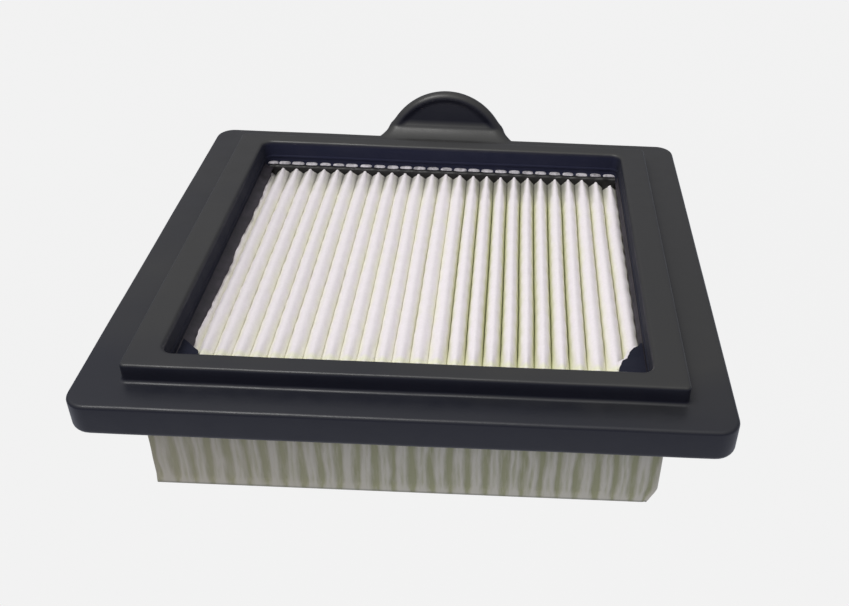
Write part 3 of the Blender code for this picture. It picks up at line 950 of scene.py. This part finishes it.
class FILTER_OT_crest_ends(bpy.types.Operator):
    """Make the short ends of the crests that show through the rubber behind the pleats"""

    bl_idname = "filter.crest_ends"
    bl_label = "Crest ends"

    def execute(self, context):
        moulding = context.scene.filter_moulding
        rear = moulding_plans(moulding)["opening"]["y"][1]
        rows = crest_table(context.scene.filter_paper)[1:-1]
        ledge = moulding.flange_top - moulding.ledge_drop + moulding.rear_lift
        width, depth, height = 3.3 * MM, 1.7 * MM, 0.42 * MM
        parts = []
        for index, (x, *_) in enumerate(rows):
            size = (width * (1 + 0.22 * slow_noise(index * 0.77, 2.2, 6.1, 1.0)),
                    depth * (1 + 0.3 * slow_noise(index * 0.93, 4.2, 3.3, 1.0)), height)
            y = rear - 0.40 * MM + 0.12 * MM * slow_noise(index * 0.7, 8.0, 0.5, 1.0)
            parts.append(pad((x, y, ledge + 0.12 * MM), size))
        ends = make_object("crest_ends", *join_parts(parts), sharp=70.0, weld=0.001 * MM)
        place_piece(ends, smeared_finish())
        return {"FINISHED"}


def potting_bar(sizes, y_low, y_high, top, facing):
    """A bar of rubber across the pleats' ends, lumpy along its upper edge where it rose between them."""
    xs = np.linspace(-50.4 * MM, 50.9 * MM, 300)
    crests = np.array([row[0] for row in crest_table(sizes)])
    bottom = 9.0 * MM
    crown = 0.7 * MM
    half = (y_high - y_low) / 2
    middle = (y_low + y_high) / 2
    section_rows = []
    for x in xs:
        nearest = np.min(np.abs(crests - x))
        lump = 0.5 * (1 - cos(2 * pi * min(nearest / sizes.pitch, 0.5)))
        lump *= 0.8 + 0.5 * slow_noise(x, 0.3, 0.8, 2.6 * MM)
        rise = top + 0.30 * MM * lump
        reach = half + 0.28 * MM * lump
        ring = [(x, middle - facing * half, bottom)]
        for angle in np.linspace(0.0, pi, 9):
            push = -facing * cos(angle)
            wide = reach if push * facing < 0 else half
            ring.append((x, middle + wide * push, rise - crown + crown * sin(angle)))
        ring.append((x, middle + facing * half, bottom))
        section_rows.append(ring)
    points = np.array(section_rows)
    count = points.shape[1]
    faces = ring_quads(len(xs), count)
    faces.append(tuple(range(count)))
    faces.append(tuple(range((len(xs) - 1) * count, len(xs) * count))[::-1])
    return points.reshape(-1, 3), faces


class FILTER_OT_pleat_potting(bpy.types.Operator):
    """Make the rubber that fills the pleats' ends below the ledge"""

    bl_idname = "filter.pleat_potting"
    bl_label = "Pleat potting"

    def execute(self, context):
        moulding = context.scene.filter_moulding
        throat = moulding_plans(moulding)["throat"]
        ledge = moulding.flange_top - moulding.ledge_drop
        sizes = context.scene.filter_paper
        finish = skin_finish("potting_rubber", context.scene.filter_colours.potting)
        over, under, proud = 0.5 * MM, 0.9 * MM, 0.06 * MM
        rear = potting_bar(sizes, throat["y"][1] - over, throat["y"][1] + under,
                           ledge + moulding.rear_lift + proud, 1)
        front = potting_bar(sizes, throat["y"][0] - under, throat["y"][0] + over, ledge + proud, -1)
        for name, body in (("rear_pleat_potting", rear), ("front_pleat_potting", front)):
            place_piece(make_object(name, *body), finish)
        return {"FINISHED"}


def corner_web(edge, outer, top, thickness):
    """A thin torn web between two lines, each given by its x along y."""
    ys = np.linspace(edge[0][1], edge[-1][1], 70)
    inner = np.interp(ys, [y for _, y in edge], [x for x, _ in edge])
    upper = np.zeros((len(ys), 7, 3))
    lower = np.zeros_like(upper)
    for row, y in enumerate(ys):
        tear = 0.20 * MM * slow_noise(y, 0.3, outer, 0.9 * MM)
        for column, share in enumerate(np.linspace(0.0, 1.0, 7)):
            x = inner[row] + tear + (outer - inner[row] - tear) * share
            lift = 0.10 * MM * slow_noise(x, y, 0.7, 1.9 * MM)
            upper[row, column] = (x, y, top + lift)
            lower[row, column] = (x, y, top + lift - thickness)
    return thick_grid(upper, lower)


# Torn edges of the flash, in millimetres from the element's middle and from its front edge.
RIGHT_TEAR = ((44.9, 14.0), (45.5, 21.6), (46.5, 24.6), (47.5, 25.5), (48.4, 27.9), (49.4, 29.5),
              (50.4, 30.2), (51.3, 31.4))
LEFT_TEAR = ((-45.4, 14.0), (-47.0, 22.3), (-48.2, 23.3), (-49.0, 24.0), (-51.3, 26.2))


class FILTER_OT_corner_flash(bpy.types.Operator):
    """Make the torn flash of rubber in the opening's front corners, with the paper's torn lip"""

    bl_idname = "filter.corner_flash"
    bl_label = "Corner flash"

    def execute(self, context):
        top = context.scene.filter_paper.crest_height + 0.55 * MM
        wall = context.scene.filter_moulding.opening_half - 0.2 * MM
        thickness = 0.3 * MM
        right, left = ([(x * MM, FRONT + y * MM) for x, y in tear] for tear in (RIGHT_TEAR, LEFT_TEAR))
        web = join_parts([corner_web(right, wall, top, thickness), corner_web(left, -wall, top, thickness)])
        place_piece(make_object("corner_flash", *web, sharp=50.0), moulded_rubber())
        lip_edge = [(x - 0.55 * MM, y + 0.45 * MM) for x, y in right[1:-1]]
        lip = corner_web(lip_edge, 50.2 * MM, top - 0.35 * MM, 0.12 * MM)
        place_piece(make_object("torn_paper_lip", *lip, sharp=50.0), pleated_finish())
        return {"FINISHED"}


# The pleat ends.


def end_relief(sizes, x, z, seed):
    """At a point of the crimped end, how far a fold stands out and how deep its groove is, each 0 to 1."""
    paper = bpy.context.scene.filter_paper
    pleat = round((x - paper.first_crest - paper.pitch / 2) / paper.pitch)
    drift = 0.40 * MM * slow_noise(pleat * 0.9, z / (7 * MM), seed, 1.0)
    drift += 0.36 * MM * slow_noise(pleat * 1.7, 3.3, seed, 1.0)
    centre = paper.first_crest + paper.pitch * (pleat + 0.5) + drift
    bulb = 0.25 * MM * float(smooth_step(3.2 * MM - z, 0.0, 2.4 * MM))
    uneven = 0.20 * MM * slow_noise(pleat * 2.3, z / (5 * MM), seed + 2.0, 1.0)
    half = sizes.column_half + bulb + uneven
    away = abs(x - centre)
    column = 1 - float(smooth_step(away, half - 0.70 * MM, half + 0.70 * MM))
    ridge = 0.5 * half
    groove = float(smooth_step(ridge - away, -0.1 * MM, ridge))
    groove *= float(smooth_step(z, 1.2 * MM, 3.4 * MM))
    groove *= 0.7 + 0.6 * slow_noise(pleat * 3.1, z / (6 * MM), seed + 5.0, 1.0)
    return column, groove


def pleat_end(sizes, low, high, outer, inner, seed):
    """A crimped pleat end as a closed body, with how pale each of its points is, which paints shade into
    its hollows and grooves.
    """
    xs = np.linspace(low.x, high.x, 560)
    zs = np.concatenate([np.linspace(0.0, 1.6, 7), np.linspace(2.2, 21.2, 34)]) * MM
    front = np.zeros((len(zs), len(xs), 3))
    back = np.zeros_like(front)
    relief = np.zeros((len(zs), len(xs)))
    outward = 1.0 if outer > inner else -1.0
    corner = high.x - 2.4 * MM
    fold_round = 0.6 * MM
    for row, z in enumerate(zs):
        fold = sqrt(max(1 - (1 - min(z / fold_round, 1.0)) ** 2, 0.0))
        for column, x in enumerate(xs):
            stands, groove = end_relief(sizes, x, z, seed)
            depth = sizes.recess * (1 - stands) + sizes.groove * groove * stands
            depth *= float(smooth_step(z, 0.2 * MM, 2.8 * MM))
            crumple = float(smooth_step(x, corner, high.x)) * float(smooth_step(9 * MM - z, 0.0, 7 * MM))
            wrinkle = 0.35 * MM * crumple * slow_noise(x, z, seed, 1.4 * MM)
            depth = min(depth * fold + (1 - fold) * 0.4 * MM, abs(outer - inner) - 0.25 * MM)
            tucked = x - float(corner_tuck(x, z, high.x)) if outward < 0 else x
            front[row, column] = (tucked, outer - outward * (depth + abs(wrinkle)), z)
            back[row, column] = (tucked, inner, z)
            # Paleness drops in the groove and where the fold turns under: painted shade.
            relief[row, column] = stands * (1 - 0.55 * groove) * (0.75 + 0.25 * fold) + 0.4 * crumple
    vertices, faces = thick_grid(front, back)
    return vertices, faces, np.concatenate([relief.reshape(-1), np.zeros(relief.size)])


class FILTER_OT_pleat_ends(bpy.types.Operator):
    """Make the crimped and glued ends of the pleats at the front and rear of the pack"""

    bl_idname = "filter.pleat_ends"
    bl_label = "Pleat ends"

    def execute(self, context):
        sizes = context.scene.filter_pleat_ends
        finish = pleat_end_finish()
        places = (
            ("front_pleat_end", "front_pleat_seal", FRONT_SEAL_LOW, FRONT_SEAL_HIGH, FRONT_SEAL_LOW.y,
             FRONT_SEAL_HIGH.y, 0.4),
            ("rear_pleat_end", "rear_pleat_seal", REAR_SEAL_LOW, REAR_SEAL_HIGH, REAR_SEAL_HIGH.y,
             REAR_SEAL_LOW.y, 7.9),
        )
        for name, node, low, high, outer, inner, seed in places:
            vertices, faces, relief = pleat_end(sizes, low, high, outer, inner, seed)
            end = make_object(name, vertices, faces, sharp=60.0)
            add_point_values(end, "relief", relief)
            place_piece(end, finish, [node])
        return {"FINISHED"}


# The edge strips.


def edge_strip(wall, reach, base, seed):
    """A thin adhesive skin from the inner wall onto the ledge, with a wavy free edge."""
    plans = moulding_plans(bpy.context.scene.filter_moulding)
    low, high = plans["opening"]["y"][0] + 1.6 * MM, plans["opening"]["y"][1] - 1.9 * MM
    ys = np.linspace(low, high, 180)
    shares = np.linspace(0.0, 1.0, 9)
    side = 1 if wall > 0 else -1
    upper = np.zeros((len(ys), len(shares), 3))
    lower = np.zeros_like(upper)
    for row, y in enumerate(ys):
        wave = slow_noise(y, seed, 0.1, 5.5 * MM) + 0.6 * slow_noise(y, seed, 4.1, 2.1 * MM)
        wide = reach * (1 + 0.16 * wave)
        for column, share in enumerate(shares):
            x = wall - side * wide * share
            sag = 0.75 * MM * (1 - share) ** 4 - 0.25 * MM * share ** 2
            ripple = 0.08 * MM * slow_noise(x, y, seed, 2.4 * MM)
            thick = 0.22 * MM * sqrt(max(1 - share ** 6, 0.0))
            upper[row, column] = (x, y, base + sag + ripple + thick)
            lower[row, column] = (x, y, base + sag + ripple - 0.12 * MM)
    return thick_grid(upper, lower)


class FILTER_OT_edge_strips(bpy.types.Operator):
    """Make the adhesive skins along the left and right inner walls"""

    bl_idname = "filter.edge_strips"
    bl_label = "Edge strips"

    def execute(self, context):
        moulding = context.scene.filter_moulding
        ledge = moulding.flange_top - moulding.ledge_drop
        # The skin's dark grey-purple is partly its own colour and partly painted shade of the first pleat's
        # flap.
        finish = skin_finish("adhesive_skin_and_shade", context.scene.filter_colours.sealant_and_shade)
        side = moulding.opening_half - 0.08 * MM
        walls = (("left_edge_strip", "left_edge_seal", -side, 2.5 * MM, 1.3),
                 ("right_edge_strip", "right_edge_seal", side, 0.85 * MM, 6.6))
        for name, node, wall, reach, seed in walls:
            strip = make_object(name, *edge_strip(wall, reach, ledge + 0.25 * MM, seed), sharp=60.0)
            place_piece(strip, finish, [node])
        return {"FINISHED"}


# The stage.


def add_overhead_panel(stage):
    """A soft square light above and to the left, which faces the element."""
    target = Vector((0.0, 0.0, 0.02))
    data = bpy.data.lights.new("overhead_panel", "AREA")
    data.shape = "RECTANGLE"
    data.size = data.size_y = stage.overhead_side
    data.energy = stage.overhead
    data.color = (1.0, 0.99, 0.97)
    light = bpy.data.objects.new("overhead_panel", data)
    light.location = stage.overhead_place
    light.rotation_euler = (target - Vector(stage.overhead_place)).to_track_quat("-Z", "Y").to_euler()
    bpy.context.scene.collection.objects.link(light)


def add_camera(stage):
    """The camera, placed by its turn, rise, distance and roll about the point it looks at."""
    back = Vector((sin(stage.azimuth) * cos(stage.elevation), -cos(stage.azimuth) * cos(stage.elevation),
                   sin(stage.elevation)))
    right = (-back).cross(Vector((0.0, 0.0, 1.0))).normalized()
    up = back.cross(right)
    rolled_right = cos(stage.roll) * right + sin(stage.roll) * up
    rolled_up = -sin(stage.roll) * right + cos(stage.roll) * up
    turn = Matrix((rolled_right, rolled_up, back)).transposed().to_4x4()
    data = bpy.data.cameras.new("camera")
    data.lens = stage.lens
    data.sensor_width = 36.0
    data.sensor_fit = "HORIZONTAL"
    data.shift_x = stage.shift
    data.clip_start = 0.01
    data.clip_end = 20.0
    camera = bpy.data.objects.new("camera", data)
    camera.matrix_world = Matrix.Translation(Vector(stage.aim) + stage.distance * back) @ turn
    bpy.context.scene.collection.objects.link(camera)
    bpy.context.scene.camera = camera


def sweep_floor():
    """A round pale floor that rises into a wall all round."""
    flat, bend, wall_top = 3.0, 1.5, 4.0
    profile = [(0.0, 0.0), (0.5, 0.0), (1.5, 0.0), (flat, 0.0)]
    profile += [(flat + bend * sin(a), bend - bend * cos(a)) for a in np.linspace(0.0, pi / 2, 9)[1:]]
    profile.append((flat + bend, wall_top))
    sides = 48
    vertices = [(0.0, 0.0, 0.0)]
    for reach, height in profile[1:]:
        vertices += [(reach * cos(2 * pi * k / sides), reach * sin(2 * pi * k / sides), height)
                     for k in range(sides)]
    faces = [(0, 1 + k, 1 + (k + 1) % sides) for k in range(sides)]
    for ring in range(len(profile) - 2):
        first = 1 + ring * sides
        for k in range(sides):
            after = (k + 1) % sides
            faces.append((first + k, first + sides + k, first + sides + after, first + after))
    return vertices, faces


def add_sky(stage):
    """Even studio light: strong from above, weaker from the sides and faint from below."""
    world = bpy.data.worlds.new("studio")
    world.use_nodes = True
    tree = world.node_tree
    place = add_node(tree, "ShaderNodeTexCoord").outputs["Generated"]
    brightest = (-0.22, -0.10, 0.97)
    height = add_node(tree, "ShaderNodeVectorMath", {"operation": "DOT_PRODUCT"}, n0=place,
                      n1=brightest).outputs["Value"]
    share = add_range(tree, height, -1.0, 1.0, 0.0, 1.0)
    light = add_ramp(tree, share, [
        (0.34, (0.62, 0.64, 0.72)), (0.50, (0.20, 0.21, 0.26)), (0.70, (0.42, 0.42, 0.45)),
        (0.95, (1.0, 1.0, 1.0))])
    backdrop = tree.nodes["Background"]
    tree.links.new(light, backdrop.inputs["Color"])
    backdrop.inputs["Strength"].default_value = stage.ambient
    bpy.context.scene.world = world


class FILTER_OT_stage(bpy.types.Operator):
    """Set the floor, the light and the camera"""

    bl_idname = "filter.stage"
    bl_label = "Stage"

    def execute(self, context):
        stage = context.scene.filter_stage
        material, tree, shader, place = new_finish("pale_floor")
        shade = tuple(stage.floor_colour)
        soft = add_ramp(tree, add_noise(tree, place, 3.0, 1.0), [
            (0.3, tuple(0.99 * c for c in shade)), (0.7, shade)])
        tree.links.new(soft, shader.inputs["Emission Color"])
        shader.inputs["Emission Strength"].default_value = stage.floor_glow
        shader.inputs["Base Color"].default_value = (0.0, 0.0, 0.0, 1.0)
        shader.inputs["Roughness"].default_value = 1.0
        shader.inputs["Specular IOR Level"].default_value = 0.0
        floor = make_object("floor", *sweep_floor(), sharp=180.0)
        floor.data.materials.append(material)
        floor.visible_diffuse = False
        floor.visible_glossy = False
        floor.visible_shadow = False
        add_sky(stage)
        add_overhead_panel(stage)
        context.scene.view_settings.view_transform = "Standard"
        add_camera(stage)
        return {"FINISHED"}


class FILTER_PT_element(bpy.types.Panel):
    """Lists the operators that build the element"""

    bl_idname = "FILTER_PT_element"
    bl_label = "Filter element"
    bl_space_type = "VIEW_3D"
    bl_region_type = "UI"
    bl_category = "Filter element"

    def draw(self, context):
        for operator in OPERATORS:
            self.layout.operator(operator.bl_idname)


OPERATORS = (FILTER_OT_frame_moulding, FILTER_OT_pleated_paper, FILTER_OT_crest_ends,
             FILTER_OT_pleat_potting, FILTER_OT_corner_flash, FILTER_OT_pleat_ends,
             FILTER_OT_edge_strips, FILTER_OT_stage)
GROUPS = {"filter_moulding": MouldingSizes, "filter_paper": PaperSizes, "filter_pleat_ends": PleatEndSizes,
          "filter_colours": FinishColours, "filter_stage": StageSizes}


def register():
    """Register the classes and put the property groups on the scene."""
    for group in GROUPS.values():
        bpy.utils.register_class(group)
    for name, group in GROUPS.items():
        setattr(bpy.types.Scene, name, PointerProperty(type=group))
    for made in (*OPERATORS, FILTER_PT_element):
        bpy.utils.register_class(made)


def unregister():
    """Take the classes and the property groups off again."""
    for made in (FILTER_PT_element, *reversed(OPERATORS)):
        bpy.utils.unregister_class(made)
    for name, group in GROUPS.items():
        delattr(bpy.types.Scene, name)
        bpy.utils.unregister_class(group)


def main():
    """Build the element and its stage."""
    register()
    bpy.ops.filter.frame_moulding()
    bpy.ops.filter.pleated_paper()
    bpy.ops.filter.crest_ends()
    bpy.ops.filter.pleat_potting()
    bpy.ops.filter.corner_flash()
    bpy.ops.filter.pleat_ends()
    bpy.ops.filter.edge_strips()
    bpy.ops.filter.stage()


if __name__ == "__main__":
    main()
